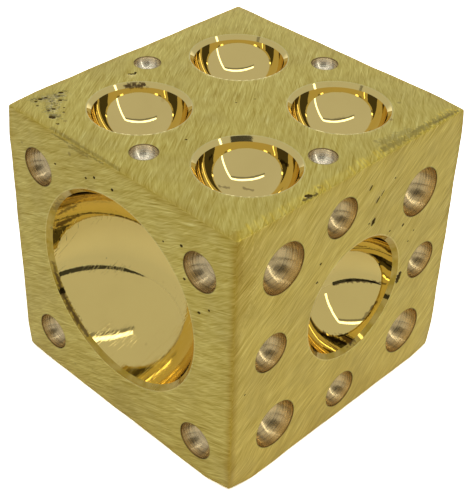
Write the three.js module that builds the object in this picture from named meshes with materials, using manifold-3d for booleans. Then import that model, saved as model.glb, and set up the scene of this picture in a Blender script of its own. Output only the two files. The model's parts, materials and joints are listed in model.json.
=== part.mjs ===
// Dapping block: one solid, hand-dressed brass block. Each of its six faces carries round hollows, in graduated sizes,
// into which sheet metal is punched to dome it. It is a single casting with nothing fitted to it.
// Millimetres, +Z up. The origin is the middle of the underside, and the front face looks along -Y.

import * as THREE from "three";
import { RoundedBoxGeometry } from "three/addons/geometries/RoundedBoxGeometry.js";
import { mergeVertices } from "three/addons/utils/BufferGeometryUtils.js";
import Module from "manifold-3d";

// Block. Its faces were sawn and dressed by hand, so the three sides are not quite equal.
const block_width = 50; // along X
const block_depth = 51.3; // along Y
const block_height = 49; // along Z
const edge_radius = 1; // every long edge, eased with a file
const corner_blunting = 1.5; // from the sharp corner in to the blunted one

// Polished bowls: the width of the mouth, the depth below the face, and the chamfer that breaks the mouth's edge, as
// its width on the face and its drop into the bowl.
const front_bowl = { mouth: 34.4, depth: 13, chamfer_width: 0.8, chamfer_drop: 0.8 };
const right_bowl = { mouth: 21.8, depth: 9.2, chamfer_width: 0.7, chamfer_drop: 0.75 };
const top_bowl = { mouth: 16.2, depth: 6.9, chamfer_width: 0.6, chamfer_drop: 0.75 };
const back_bowl = { mouth: 28, depth: 10.8, chamfer_width: 0.7, chamfer_drop: 0.75 };
const left_bowl = { mouth: 25, depth: 9.9, chamfer_width: 0.7, chamfer_drop: 0.75 };
const under_bowl = { mouth: 12.5, depth: 5.4, chamfer_width: 0.5, chamfer_drop: 0.6 };

// Dimples, left as the ball cutter made them: half a ball deep, with a sharp rim.
const no_chamfer = 0;
const half_ball_share = 0.5;
const large_dimple_mouth = 8.5; // corners of the right face
const middle_dimple_mouth = 6.7; // middles of the right face's sides
const front_dimple_mouth = 6.5; // corners of the front face
const small_dimple_mouth = 4.4; // middles of the top face's sides

// Places on a face, across it and up it, as shares of the face's own width and height counted from its middle.
// They were marked out by eye, so no two are quite alike.
const front_bowl_shares = [[-0.004, 0.031]];
const front_dimple_shares = [
  [-0.354, 0.33],
  [0.361, 0.32],
  [-0.349, -0.349],
  [0.348, -0.363],
];
const right_bowl_shares = [[0.031, -0.004]];
const right_corner_dimple_shares = [
  [-0.31, 0.307],
  [0.307, 0.271],
  [0.312, -0.313],
  [-0.305, -0.319],
];
const right_side_dimple_shares = [
  [-0.068, 0.36],
  [0.361, -0.03],
  [0.001, -0.378],
  [-0.343, 0.007],
];
const top_bowl_shares = [
  [-0.198, -0.223],
  [-0.223, 0.228],
  [0.222, 0.22],
  [0.257, -0.216],
];
const top_dimple_shares = [
  [-0.395, -0.018],
  [0.004, 0.395],
  [0.004, -0.383],
  [0.376, -0.028],
];
const middle_shares = [[0, 0]];
const under_bowl_shares = [
  [-0.23, -0.22],
  [-0.22, 0.23],
  [0.23, 0.22],
  [0.22, -0.23],
];

// Fineness of the facets, and how far each cutter stands out of the face that it cuts.
const facet_deviation = 0.065;
const edge_steps = 3;
const corner_ball_detail = 20;
const cutter_overrun = 0.5;

const wasm = await Module();
wasm.setup();

// A closed three.js geometry as a solid that can be cut.
function solidFrom(geometry) {
  geometry.deleteAttribute("normal");
  geometry.deleteAttribute("uv");
  const merged = mergeVertices(geometry);
  return new wasm.Manifold(
    new wasm.Mesh({
      numProp: 3,
      vertProperties: merged.attributes.position.array,
      triVerts: new Uint32Array(merged.index.array),
    }),
  );
}

// A solid's surface as a three.js geometry.
function geometryFrom(solid) {
  const { vertProperties, triVerts } = solid.getMesh();
  const geometry = new THREE.BufferGeometry();
  geometry.setAttribute("position", new THREE.BufferAttribute(vertProperties, 3));
  geometry.setIndex(new THREE.BufferAttribute(triVerts, 1));
  geometry.computeVertexNormals();
  return geometry;
}

// The angle that one facet may span on a circle of this radius.
const facetAngle = (radius) => 2 * Math.acos(1 - facet_deviation / radius);

// Half the outline of a hollow, from its lowest point on the axis to its mouth on a face at height zero: an arc of the
// ball that cut it, then the chamfer.
function hollowOutline({ mouth, depth, chamfer_width, chamfer_drop }) {
  const mouth_radius = mouth / 2;
  const ball_reach = mouth_radius - chamfer_width;
  const ball_depth = depth - chamfer_drop;
  const ball_radius = (ball_reach ** 2 + ball_depth ** 2) / (2 * ball_depth);
  const ball_height = ball_radius - depth;
  const turn = Math.atan2(ball_reach, ball_radius - ball_depth);
  const ball_steps = Math.ceil(turn / facetAngle(ball_radius));
  const points = [];
  for (let i = 0; i <= ball_steps; i++) {
    const angle = (turn * i) / ball_steps;
    points.push(new THREE.Vector2(ball_radius * Math.sin(angle), ball_height - ball_radius * Math.cos(angle)));
  }
  if (chamfer_width > 0) {
    points.push(new THREE.Vector2(mouth_radius, 0));
  }
  return points;
}

// The cutter for a hollow: its outline, with the last facet carried on past the mouth, spun about Z.
function hollowCutter(hollow) {
  const points = hollowOutline(hollow);
  const mouth_point = points.pop();
  const last = points.at(-1);
  const top = mouth_point.clone().add(
    mouth_point
      .clone()
      .sub(last)
      .setLength(cutter_overrun),
  );
  points.push(top, new THREE.Vector2(0, top.y));
  const around = Math.ceil((2 * Math.PI) / facetAngle(hollow.mouth / 2));
  return new THREE.LatheGeometry(points, around).rotateX(Math.PI / 2);
}

// A dimple is half of the ball that cut it.
function dimple(mouth) {
  return { mouth, depth: mouth * half_ball_share, chamfer_width: no_chamfer, chamfer_drop: no_chamfer };
}

// A face of the block: the directions across it, up it and out of it, and its size along the first two.
function face(across, up, out) {
  const size = new THREE.Vector3(block_width, block_depth, block_height);
  const middle = out.clone().multiply(size).divideScalar(2);
  middle.z += block_height / 2;
  return { across, up, out, middle, width: Math.abs(across.dot(size)), height: Math.abs(up.dot(size)) };
}

const axis = (x, y, z) => new THREE.Vector3(x, y, z);
const front = face(axis(1, 0, 0), axis(0, 0, 1), axis(0, -1, 0));
const right = face(axis(0, 1, 0), axis(0, 0, 1), axis(1, 0, 0));
const back = face(axis(-1, 0, 0), axis(0, 0, 1), axis(0, 1, 0));
const left = face(axis(0, -1, 0), axis(0, 0, 1), axis(-1, 0, 0));
const top = face(axis(1, 0, 0), axis(0, 1, 0), axis(0, 0, 1));
const underside = face(axis(1, 0, 0), axis(0, -1, 0), axis(0, 0, -1));

// Which hollows each face carries.
const hollow_sets = [
  { on: front, hollow: front_bowl, shares: front_bowl_shares },
  { on: front, hollow: dimple(front_dimple_mouth), shares: front_dimple_shares },
  { on: right, hollow: right_bowl, shares: right_bowl_shares },
  { on: right, hollow: dimple(large_dimple_mouth), shares: right_corner_dimple_shares },
  { on: right, hollow: dimple(middle_dimple_mouth), shares: right_side_dimple_shares },
  { on: top, hollow: top_bowl, shares: top_bowl_shares },
  { on: top, hollow: dimple(small_dimple_mouth), shares: top_dimple_shares },
  { on: back, hollow: back_bowl, shares: middle_shares },
  { on: left, hollow: left_bowl, shares: middle_shares },
  { on: underside, hollow: under_bowl, shares: under_bowl_shares },
];

// Every cutter of a set, standing on its place on the face.
function cuttersFor({ on, hollow, shares }) {
  return shares.map(([across_share, up_share]) => {
    const place = on.middle
      .clone()
      .addScaledVector(on.across, across_share * on.width)
      .addScaledVector(on.up, up_share * on.height);
    const stand = new THREE.Matrix4().makeBasis(on.across, on.up, on.out).setPosition(place);
    return solidFrom(hollowCutter(hollow).applyMatrix4(stand));
  });
}

// The bare block: a box with eased edges, its corners taken back by a ball about its middle.
function bareBlock() {
  const box = new RoundedBoxGeometry(block_width, block_depth, block_height, edge_steps, edge_radius);
  const half_diagonal = Math.hypot(block_width, block_depth, block_height) / 2;
  const ball = new THREE.IcosahedronGeometry(half_diagonal - corner_blunting, corner_ball_detail);
  const lift = block_height / 2;
  return solidFrom(box.translate(0, 0, lift)).intersect(solidFrom(ball.translate(0, 0, lift)));
}

const worked = hollow_sets.flatMap(cuttersFor).reduce((block, cutter) => block.subtract(cutter), bareBlock());

const brass = new THREE.MeshStandardMaterial({ color: 0xb09c4e, roughness: 0.38, metalness: 1 });
const block = new THREE.Mesh(geometryFrom(worked), brass);
block.name = "dapping_block";

const part = new THREE.Group();
part.add(block);

export default part;
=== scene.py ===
"""Looks of a solid brass dapping block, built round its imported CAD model.

The block is one casting: six hand-dressed faces, eased edges, blunted corners, polished bowls and machined
dimples. Its mesh is worked out in millimetres from the block's middle and written in metres at the end.
"""

import json
import logging
import math
from collections.abc import Callable
from dataclasses import dataclass, field
from enum import Enum

import bmesh
import bpy
import numpy as np
from mathutils import Matrix, Vector
from mathutils.geometry import delaunay_2d_cdt

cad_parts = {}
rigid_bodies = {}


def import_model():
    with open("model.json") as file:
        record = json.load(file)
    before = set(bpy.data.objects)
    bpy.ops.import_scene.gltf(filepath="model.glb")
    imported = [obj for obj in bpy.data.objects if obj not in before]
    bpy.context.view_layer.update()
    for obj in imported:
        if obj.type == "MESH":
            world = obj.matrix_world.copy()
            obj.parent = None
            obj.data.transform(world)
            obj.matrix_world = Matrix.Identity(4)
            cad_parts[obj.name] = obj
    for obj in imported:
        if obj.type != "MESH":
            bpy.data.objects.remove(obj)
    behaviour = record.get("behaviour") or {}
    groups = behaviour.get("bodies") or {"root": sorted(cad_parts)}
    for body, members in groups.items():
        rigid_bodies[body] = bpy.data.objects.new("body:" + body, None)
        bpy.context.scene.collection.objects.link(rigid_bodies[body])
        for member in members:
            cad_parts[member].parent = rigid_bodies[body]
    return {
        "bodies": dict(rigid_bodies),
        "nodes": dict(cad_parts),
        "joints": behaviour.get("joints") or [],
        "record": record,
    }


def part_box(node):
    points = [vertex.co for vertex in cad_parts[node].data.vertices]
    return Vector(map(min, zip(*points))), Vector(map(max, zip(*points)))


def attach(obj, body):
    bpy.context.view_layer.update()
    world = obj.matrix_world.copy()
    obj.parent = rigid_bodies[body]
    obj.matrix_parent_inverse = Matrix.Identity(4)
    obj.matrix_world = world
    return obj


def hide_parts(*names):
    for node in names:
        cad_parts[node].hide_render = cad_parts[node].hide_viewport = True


NODE = "dapping_block"
BODY = "root"
MM = 0.001

# How far from a face a point still lies on it, in millimetres, and how far inside a mouth a point may lie and
# still be on its rim, or a triangle's middle and still be outside it, as shares of the mouth's width.
LEVEL_SLACK = 1e-4
RIM_SLACK = 0.0025
CHORD_SLACK = 0.00025

Pair = tuple[float, float]
Triple = tuple[float, float, float]
Colour = tuple[float, float, float, float]

log = logging.getLogger("dapping_block")


def new_object(name: str, data: bpy.types.ID) -> bpy.types.Object:
    """Makes an object of a mesh or camera, and links it into the scene."""
    made = bpy.data.objects.new(name, data)
    bpy.context.scene.collection.objects.link(made)
    return made


# Node trees.


def reckoning(operation: str, turned: bool = False) -> Callable[..., "Signal"]:
    """Makes an operator of Signal that adds one Math node.

    Args:
        operation: Blender's name for what the node works out.
        turned: Whether the operator's own signal comes last.

    Returns:
        The operator.
    """

    def apply(signal: "Signal", *others: object) -> "Signal":
        """Adds the node."""
        return signal.graph.math(operation, *((*others, signal) if turned else (signal, *others)))

    return apply


class Signal:
    """An output of a node. Reckoning with signals adds Math nodes."""

    __add__ = __radd__ = reckoning("ADD")
    __sub__ = reckoning("SUBTRACT")
    __rsub__ = reckoning("SUBTRACT", turned=True)
    __mul__ = __rmul__ = reckoning("MULTIPLY")
    __truediv__ = reckoning("DIVIDE")
    __pow__ = reckoning("POWER")
    above = reckoning("GREATER_THAN")
    below = reckoning("LESS_THAN")
    least = reckoning("MINIMUM")
    most = reckoning("MAXIMUM")
    sine = reckoning("SINE")
    cosine = reckoning("COSINE")

    def __init__(self, graph: "Graph", socket: bpy.types.NodeSocket) -> None:
        """Takes an output of one of the graph's nodes."""
        self.graph = graph
        self.socket = socket

    def clamped(self) -> "Signal":
        """The same signal, kept from 0 to 1."""
        self.socket.node.use_clamp = True
        return self


class Graph:
    """A node tree under construction."""

    def __init__(self, tree: bpy.types.NodeTree) -> None:
        """Takes the shader or geometry tree to fill."""
        self.tree = tree

    def feed(self, socket: bpy.types.NodeSocket, value: object) -> None:
        """Gives an input a signal or a plain value.

        Args:
            socket: The input.
            value: The signal or value.
        """
        if isinstance(value, Signal):
            self.tree.links.new(value.socket, socket)
        else:
            socket.default_value = value

    def node(self, kind: str, inputs: dict | None = None, **settings: object) -> bpy.types.Node:
        """Adds a node.

        Args:
            kind: Blender's name for the node type.
            inputs: What its inputs get, by name or number.
            **settings: Its properties.

        Returns:
            The node.
        """
        made = self.tree.nodes.new(kind)
        for name, value in settings.items():
            setattr(made, name, value)
        for key, value in (inputs or {}).items():
            self.feed(made.inputs[key], value)
        return made

    def signal(
        self, kind: str, inputs: dict | None = None, output: int | str = 0, **settings: object
    ) -> Signal:
        """Adds a node as the method above does, and returns its output of that name or number."""
        return Signal(self, self.node(kind, inputs, **settings).outputs[output])

    def signals(self, node: bpy.types.Node, *names: str) -> list[Signal]:
        """A node's outputs of these names, or all of them in order."""
        return [Signal(self, node.outputs[name]) for name in names or range(len(node.outputs))]

    def math(self, operation: str, *values: object) -> Signal:
        """Adds a Math node."""
        return self.signal("ShaderNodeMath", dict(enumerate(values)), operation=operation)

    def vector(self, operation: str, *values: object, output: int = 0) -> Signal:
        """Adds a Vector Math node, whose output 0 is a vector and 1 a number."""
        return self.signal("ShaderNodeVectorMath", dict(enumerate(values)), output, operation=operation)

    def combine(self, *values: object) -> Signal:
        """Joins up to three numbers into a vector, with 0 for each that isn't given."""
        return self.signal("ShaderNodeCombineXYZ", dict(enumerate(values)))

    def separate(self, vector: Signal) -> list[Signal]:
        """Splits a vector into its three numbers."""
        return self.signals(self.node("ShaderNodeSeparateXYZ", {0: vector}))

    def ramp(self, value: Signal, low: float, high: float, first: float = 0.0, last: float = 1.0) -> Signal:
        """Turns a number into one that goes smoothly from first, up to low, to last, from high on."""
        inputs = dict(enumerate((value, low, high, first, last)))
        return self.signal("ShaderNodeMapRange", inputs, interpolation_type="SMOOTHSTEP")

    def mix(self, share: object, first: object, second: object, blend: str = "MIX") -> Signal:
        """Mixes a share of the second colour into the first, in Blender's way of that name."""
        inputs = {0: share, 6: first, 7: second}
        return self.signal("ShaderNodeMix", inputs, 2, data_type="RGBA", blend_type=blend)

    def noise(self, at: Signal, scale: float, detail: float = 2.0, roughness: float = 0.5) -> Signal:
        """Adds a Noise Texture node."""
        inputs = {"Vector": at, "Scale": scale, "Detail": detail, "Roughness": roughness}
        return self.signal("ShaderNodeTexNoise", inputs, "Fac")

    def attribute(self, name: str) -> Signal:
        """Reads a vector that is stored on the mesh."""
        return self.signal("ShaderNodeAttribute", None, "Vector", attribute_name=name)

    def parts(self, name: str) -> list[Signal]:
        """Reads the three numbers of a vector that is stored on the mesh."""
        return self.separate(self.attribute(name))

    def group(self, tree: bpy.types.NodeTree, **inputs: object) -> dict[str, Signal]:
        """Places a node group with these inputs, and returns its outputs by name."""
        node = self.node("ShaderNodeGroup", inputs, node_tree=tree)
        return {socket.name: Signal(self, socket) for socket in node.outputs}


class Group(Graph):
    """A node group under construction, with its inputs as signals by name in given."""

    kinds = {float: "Float", int: "Int", tuple: "Color"}

    def __init__(
        self, name: str, kind: str, inputs: dict[str, object], outputs: str, made: str = "Float"
    ) -> None:
        """Makes the group with its sockets.

        Args:
            name: The group's name.
            kind: Shader or Geometry.
            inputs: For each name, its usual value, or the kind of socket in a word where it has none.
            outputs: The names of the outputs, each one word.
            made: The kind of socket of the outputs.
        """
        super().__init__(bpy.data.node_groups.new(name, f"{kind}NodeTree"))
        new_socket = self.tree.interface.new_socket
        for label, value in inputs.items():
            plain = isinstance(value, str)
            word = value if plain else self.kinds[type(value)]
            socket = new_socket(label, in_out="INPUT", socket_type=f"NodeSocket{word}")
            if not plain:
                socket.default_value = value
        for label in outputs.split():
            new_socket(label, in_out="OUTPUT", socket_type=f"NodeSocket{made}")
        start = self.node("NodeGroupInput")
        self.given = {label: Signal(self, start.outputs[label]) for label in inputs}
        self.end = self.node("NodeGroupOutput")

    def give(self, **results: Signal) -> bpy.types.NodeTree:
        """Feeds the outputs by name, and returns the finished tree."""
        for name, value in results.items():
            self.feed(self.end.inputs[name], value)
        return self.tree


# Faces and hollows.


@dataclass(frozen=True)
class Side:
    """One face of the block: its directions, and how it was dressed.

    Attributes:
        across: The direction across the face.
        up: The direction up the face.
        out: The direction out of the block.
        stroke_degrees: The direction of the belt's strokes, from across towards up.
    """

    across: Triple
    up: Triple
    out: Triple
    stroke_degrees: float


class Face(Enum):
    """The block's six faces."""

    FRONT = Side((1, 0, 0), (0, 0, 1), (0, -1, 0), 24.0)
    RIGHT = Side((0, 1, 0), (0, 0, 1), (1, 0, 0), 40.0)
    TOP = Side((1, 0, 0), (0, 1, 0), (0, 0, 1), 128.0)
    BACK = Side((-1, 0, 0), (0, 0, 1), (0, 1, 0), 12.0)
    LEFT = Side((0, -1, 0), (0, 0, 1), (-1, 0, 0), 75.0)
    UNDER = Side((1, 0, 0), (0, -1, 0), (0, 0, -1), 33.0)

    @property
    def number(self) -> int:
        """The face's place in the list."""
        return list(Face).index(self)

    def axes(self) -> np.ndarray:
        """Across, up and out as the rows of a matrix."""
        return np.array([self.value.across, self.value.up, self.value.out], float)


class Finish(Enum):
    """How the inside of a hollow is finished."""

    POLISHED = "polished_brass"
    MACHINED = "machined_brass"


@dataclass(frozen=True)
class HollowSet:
    """Hollows of one size on one face. Lengths are in millimetres.

    Attributes:
        face: The face that they are cut into.
        mouth: The width of the mouth.
        depth: The depth below the face.
        chamfer_width: How wide the chamfer is on the face.
        chamfer_drop: How far it drops into the hollow.
        shares: Their places, as shares of the face's width and height from its middle.
        buffing: How strongly a bowl was left brushed and how far its chamfer was left brown, or how far a
            dimple has dulled and yellowed.
        around: Facets round the mouth.
        ball_steps: Facets from the pole to the chamfer.
        chamfer_steps: Facets across the chamfer.
        ring_pitch: From one turned ring to the next.
        ring_height: How far a ring stands out of the true ball.
        finish: How the inside is finished.
    """

    face: Face
    mouth: float
    depth: float
    chamfer_width: float
    chamfer_drop: float
    shares: tuple[Pair, ...]
    buffing: Pair = (0.03, 0.0)
    around: int = 96
    ball_steps: int = 24
    chamfer_steps: int = 3
    ring_pitch: float = 1.0
    ring_height: float = 0.0
    finish: Finish = Finish.POLISHED

    @property
    def ball_reach(self) -> float:
        """The radius of the hollow where its ball meets the chamfer."""
        return self.mouth / 2 - self.chamfer_width

    @property
    def ball_radius(self) -> float:
        """The radius of the ball that cut the hollow."""
        ball_depth = self.depth - self.chamfer_drop
        return (self.ball_reach**2 + ball_depth**2) / (2 * ball_depth)

    @property
    def ball_height(self) -> float:
        """The height of the ball's centre above the face."""
        return self.ball_radius - self.depth

    @property
    def turn(self) -> float:
        """The angle from the pole to the chamfer, about the ball's centre."""
        return math.atan2(self.ball_reach, self.ball_height + self.chamfer_drop)


def dimples(face: Face, mouth: float, shares: tuple[Pair, ...], tone: Pair) -> HollowSet:
    """Half-ball dimples, left as the cutter made them.

    Args:
        face: The face that they are cut into.
        mouth: The width of the mouth in millimetres.
        shares: Their places on the face.
        tone: How far they have dulled, and how far they have yellowed.

    Returns:
        The set.
    """
    ring_pitch, ring_height, facets_per_ring = 0.42, 0.006, 3.4
    steps = round(mouth * math.pi / 4 / ring_pitch * facets_per_ring)
    fineness = (64, steps, 0, ring_pitch, ring_height)
    return HollowSet(face, mouth, mouth / 2, 0.0, 0.0, shares, tone, *fineness, Finish.MACHINED)


HOLLOWS: tuple[HollowSet, ...] = (
    HollowSet(Face.FRONT, 34.4, 13.0, 0.8, 0.8, ((-0.004, 0.031),), (0.75, 1.0), 128, 32),
    HollowSet(Face.RIGHT, 21.8, 9.2, 0.7, 0.75, ((0.031, -0.004),), (0.08, 1.0), 112),
    HollowSet(
        Face.TOP, 16.2, 6.9, 0.6, 0.75, ((-0.198, -0.223), (-0.223, 0.228), (0.222, 0.22), (0.257, -0.216))
    ),
    HollowSet(Face.BACK, 28.0, 10.8, 0.7, 0.75, ((0.0, 0.0),), ball_steps=22),
    HollowSet(Face.LEFT, 25.0, 9.9, 0.7, 0.75, ((0.0, 0.0),), ball_steps=22),
    HollowSet(
        Face.UNDER,
        12.5,
        5.4,
        0.5,
        0.6,
        ((-0.23, -0.22), (-0.22, 0.23), (0.23, 0.22), (0.22, -0.23)),
        around=72,
        ball_steps=14,
    ),
    dimples(Face.FRONT, 6.5, ((-0.354, 0.33), (0.361, 0.32), (-0.349, -0.349), (0.348, -0.363)), (0.12, 0.8)),
    dimples(Face.RIGHT, 8.5, ((-0.31, 0.307), (0.307, 0.271), (0.312, -0.313), (-0.305, -0.319)), (0.0, 1.0)),
    dimples(Face.RIGHT, 6.7, ((-0.068, 0.36), (0.361, -0.03), (0.001, -0.378), (-0.343, 0.007)), (0.0, 1.0)),
    dimples(Face.TOP, 4.4, ((-0.395, -0.018), (0.004, 0.395), (0.004, -0.383), (0.376, -0.028)), (0.0, 0.0)),
)


@dataclass(frozen=True)
class Pit:
    """A casting pit or knock in a face. Lengths are in millimetres from the face's middle."""

    face: Face
    across: float
    up: float
    length: float
    width: float
    depth: float
    degrees: float

    def axes(self) -> np.ndarray:
        """The directions along and across the pit, as the rows of a matrix."""
        turn = math.radians(self.degrees)
        return np.array([[math.cos(turn), math.sin(turn)], [-math.sin(turn), math.cos(turn)]])

    def points(self) -> np.ndarray:
        """The points that its slopes need, across and up the face."""
        spans = ((0.4, 6), (0.75, 10), (1.05, 12), (1.5, 12))
        rings = [circle(count, share) * share for share, count in spans]
        spread = np.concatenate([np.zeros((1, 2)), *rings]) * np.array([self.length, self.width]) / 2
        return spread @ self.axes() + (self.across, self.up)

    def share(self, flat: np.ndarray) -> np.ndarray:
        """How far each of these points of the face lies in the pit, from 0 to 1."""
        off = (flat - (self.across, self.up)) @ self.axes().T / (self.length / 2, self.width / 2)
        inside = np.clip((1.05 - np.hypot(*off.T)) / 0.6, 0, 1)
        return inside * inside * (3 - 2 * inside)


def circle(count: int, start: float = 0.0) -> np.ndarray:
    """Points round a circle of radius 1, the first at an angle of start."""
    turn = np.linspace(0, math.tau, count, endpoint=False) + start
    return np.stack([np.cos(turn), np.sin(turn)], 1)


def dots(face: Face, *places: Triple) -> tuple[Pit, ...]:
    """Round pits in a face, from the place of each across and up it and its width."""
    return tuple(Pit(face, a, b, wide * 1.3, wide, wide * 0.6, 30.0) for a, b, wide in places)


PITS: tuple[Pit, ...] = (
    Pit(Face.TOP, -18.6, -5.3, 1.4, 0.45, 0.3, 47.0),
    Pit(Face.TOP, -18.55, -4.6, 0.7, 0.4, 0.25, 120.0),
    Pit(Face.TOP, -16.6, -23.1, 1.2, 0.9, 0.35, 20.0),
    Pit(Face.TOP, 24.1, -10.6, 1.3, 0.8, 0.4, 60.0),
    Pit(Face.RIGHT, 2.6, 20.1, 1.0, 0.35, 0.3, 48.0),
    Pit(Face.RIGHT, 4.7, 17.0, 1.3, 0.3, 0.3, 52.0),
    Pit(Face.RIGHT, 5.7, 17.8, 1.2, 0.16, 0.1, 48.0),
    Pit(Face.RIGHT, 4.2, 13.2, 1.5, 0.8, 0.5, 60.0),
    Pit(Face.RIGHT, 13.0, -2.2, 2.4, 0.9, 0.5, 69.0),
    Pit(Face.FRONT, 18.0, 8.4, 0.7, 0.4, 0.25, 20.0),
    *dots(Face.TOP, (1.9, -12.8, 0.35), (-0.7, 0.4, 0.25), (0.5, 3.35, 0.25), (-22.2, -21.0, 0.65)),
    *dots(Face.TOP, (-21.9, -20.1, 0.5), (-21.6, -17.4, 0.7), (-21.0, -18.4, 0.45), (-18.4, -21.4, 0.6)),
    *dots(Face.TOP, (-18.6, -22.2, 0.45), (-22.1, -22.0, 0.5), (-19.8, -19.0, 0.55), (-16.6, -20.9, 0.35)),
    *dots(Face.TOP, (-14.5, -23.7, 0.45), (-20.6, -20.3, 0.3), (-17.6, -20.0, 0.3), (-20.9, -22.6, 0.4)),
    *dots(Face.FRONT, (-13.3, 18.8, 0.35), (-6.05, 19.7, 0.4), (-4.1, 20.7, 0.45), (-0.1, 20.5, 0.5)),
    *dots(Face.FRONT, (14.4, 18.3, 0.5), (15.0, 12.8, 0.45), (20.0, 10.0, 0.35), (10.7, 17.1, 0.3)),
    *dots(Face.RIGHT, (3.1, 13.4, 0.3), (8.5, 19.2, 0.3), (12.2, 8.7, 0.5), (15.4, 6.1, 0.3)),
    *dots(Face.RIGHT, (8.8, 9.2, 0.35), (-7.7, 11.5, 0.4), (-8.2, 8.3, 0.4), (14.2, 4.5, 0.3)),
    *dots(Face.RIGHT, (-22.9, -4.6, 0.3)),
    *dots(Face.BACK, (-18.4, 12.0, 0.5), (17.1, -19.3, 0.4), (19.6, 3.0, 0.45), (-20.2, -11.0, 0.35)),
    *dots(Face.LEFT, (-19.0, -14.5, 0.5), (16.4, 18.9, 0.4), (18.3, -2.0, 0.4), (-16.5, 17.1, 0.35)),
)


class HollowCutter:
    """Makes the surface of a hollow with one Geometry Nodes tree, and sets it on each place of a set."""

    # The tree's inputs that come from a set's values of the same names, with their usual values.
    sizes = {
        "Mouth": 10.0,
        "Ball Radius": 5.0,
        "Ball Height": 0.0,
        "Turn": 1.5,
        "Chamfer Width": 0.0,
        "Chamfer Drop": 0.0,
        "Ring Pitch": 1.0,
        "Ring Height": 0.0,
        "Around": 64,
        "Ball Steps": 16,
        "Chamfer Steps": 0,
    }

    # How far past the ball's share of the steps one still counts as the ball's, and how far apart points may
    # be in millimetres and still be one.
    step_slack, weld = 1e-5, 1e-4

    def __init__(self) -> None:
        """Builds the tree."""
        inputs = {"Places": "Geometry", **self.sizes, "Seed": 1, "Finish": "Material"}
        group = Group("turned_hollow", "Geometry", inputs, "Hollows", "Geometry")
        given = group.given
        spin = {2: 0.0, 3: math.tau, "Seed": given["Seed"]}
        turned = group.combine(0.0, 0.0, group.signal("FunctionNodeRandomValue", spin, 1, data_type="FLOAT"))
        setting = {"Points": given["Places"], "Instance": self.surface(group), "Rotation": turned}
        placed = group.signal("GeometryNodeInstanceOnPoints", setting)
        whole = group.signal("GeometryNodeRealizeInstances", {0: placed})
        worn = group.signal("GeometryNodeSetMaterial", {"Geometry": whole, "Material": given["Finish"]})
        self.tree = group.give(Hollows=worn)

    def surface(self, group: Group) -> Signal:
        """Bends a grid into one hollow: turns along X, steps from the pole to the mouth along Y.

        Args:
            group: The tree.

        Returns:
            The hollow's mesh.
        """
        mouth, ball_radius, ball_height, turn, chamfer_width, chamfer_drop, pitch, ring_height, *counts = (
            group.given[label] for label in self.sizes
        )
        around, ball_steps, chamfer_steps = counts
        steps = ball_steps + chamfer_steps
        grid = group.signal("GeometryNodeMeshGrid", {0: 1.0, 1: 1.0, 2: around + 1.0, 3: steps + 1.0})
        x, y, _ = group.separate(group.signal("GeometryNodeInputPosition"))
        angle = (x + 0.5) * math.tau
        along = y + 0.5
        ball_share = ball_steps / steps
        in_ball = along.below(ball_share + self.step_slack)

        ball_turn = turn * (along / ball_share).least(1.0)
        arc = ball_turn * ball_radius
        to_end = (turn - ball_turn) * ball_radius
        fade = (arc / pitch).clamped() * (to_end / pitch).clamped()
        radius = ball_radius + (arc / pitch * math.tau).sine() * ring_height * fade
        ball_out = radius * ball_turn.sine()
        ball_up = ball_height - radius * ball_turn.cosine()

        inward = (1.0 - (along - ball_share) / (1.0 - ball_share)).clamped()
        edge_out = mouth * 0.5 - chamfer_width * inward
        edge_up = chamfer_drop * inward * -1.0

        out = edge_out + in_ball * (ball_out - edge_out)
        up = edge_up + in_ball * (ball_up - edge_up)
        place = group.combine(out * angle.cosine(), out * angle.sine(), up)
        bent = group.signal("GeometryNodeSetPosition", {"Geometry": grid, "Position": place})
        return group.signal("GeometryNodeMergeByDistance", {"Geometry": bent, "Distance": self.weld})

    def cut(self, kind: HollowSet, places: np.ndarray, seed: int, finish: bpy.types.Material) -> tuple:
        """Makes the surfaces of a set of hollows, flat on their face's own plane.

        Args:
            kind: The set.
            places: The places of the mouths on the face, in millimetres.
            seed: What turns each hollow about its axis.
            finish: The material of the inside.

        Returns:
            The points of each hollow, and the faces that they all share.
        """
        points = bpy.data.meshes.new("places")
        points.from_pydata([(a, b, 0.0) for a, b in places], [], [])
        holder = new_object("places", points)
        modifier = holder.modifiers.new("hollows", "NODES")
        modifier.node_group = self.tree
        values = {label: getattr(kind, label.lower().replace(" ", "_")) for label in self.sizes}
        values |= {"Seed": seed, "Finish": finish}
        for item in self.tree.interface.items_tree:
            if item.in_out == "INPUT" and item.name in values:
                modifier[item.identifier] = values[item.name]
        evaluated = holder.evaluated_get(bpy.context.evaluated_depsgraph_get())
        mesh = bpy.data.meshes.new_from_object(evaluated)
        made = listed(mesh.vertices, "co", float, 3).reshape(len(places), -1, 3)
        share = len(mesh.polygons) // len(places)
        faces = [tuple(polygon.vertices) for polygon in mesh.polygons[:share]]
        holder.modifiers.remove(modifier)
        bpy.data.objects.remove(holder)
        return made, faces


# The block.


@dataclass
class Hollow:
    """One hollow on its place, as the block's mesh needs it."""

    kind: HollowSet
    place: np.ndarray
    points: np.ndarray
    faces: list[tuple[int, ...]]

    def gap(self, flat: np.ndarray) -> np.ndarray:
        """How far points on the face lie outside the mouth."""
        return np.hypot(*(flat - self.place).T) - self.kind.mouth / 2

    def rim(self) -> np.ndarray:
        """The points of the mouth on the face's plane, in order round it."""
        flat, height = self.points[:, :2], self.points[:, 2]
        rim = flat[(np.abs(height) < LEVEL_SLACK) & (self.gap(flat) > -RIM_SLACK * self.kind.mouth)]
        return rim[np.argsort(np.arctan2(*(rim - self.place).T))]


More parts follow.
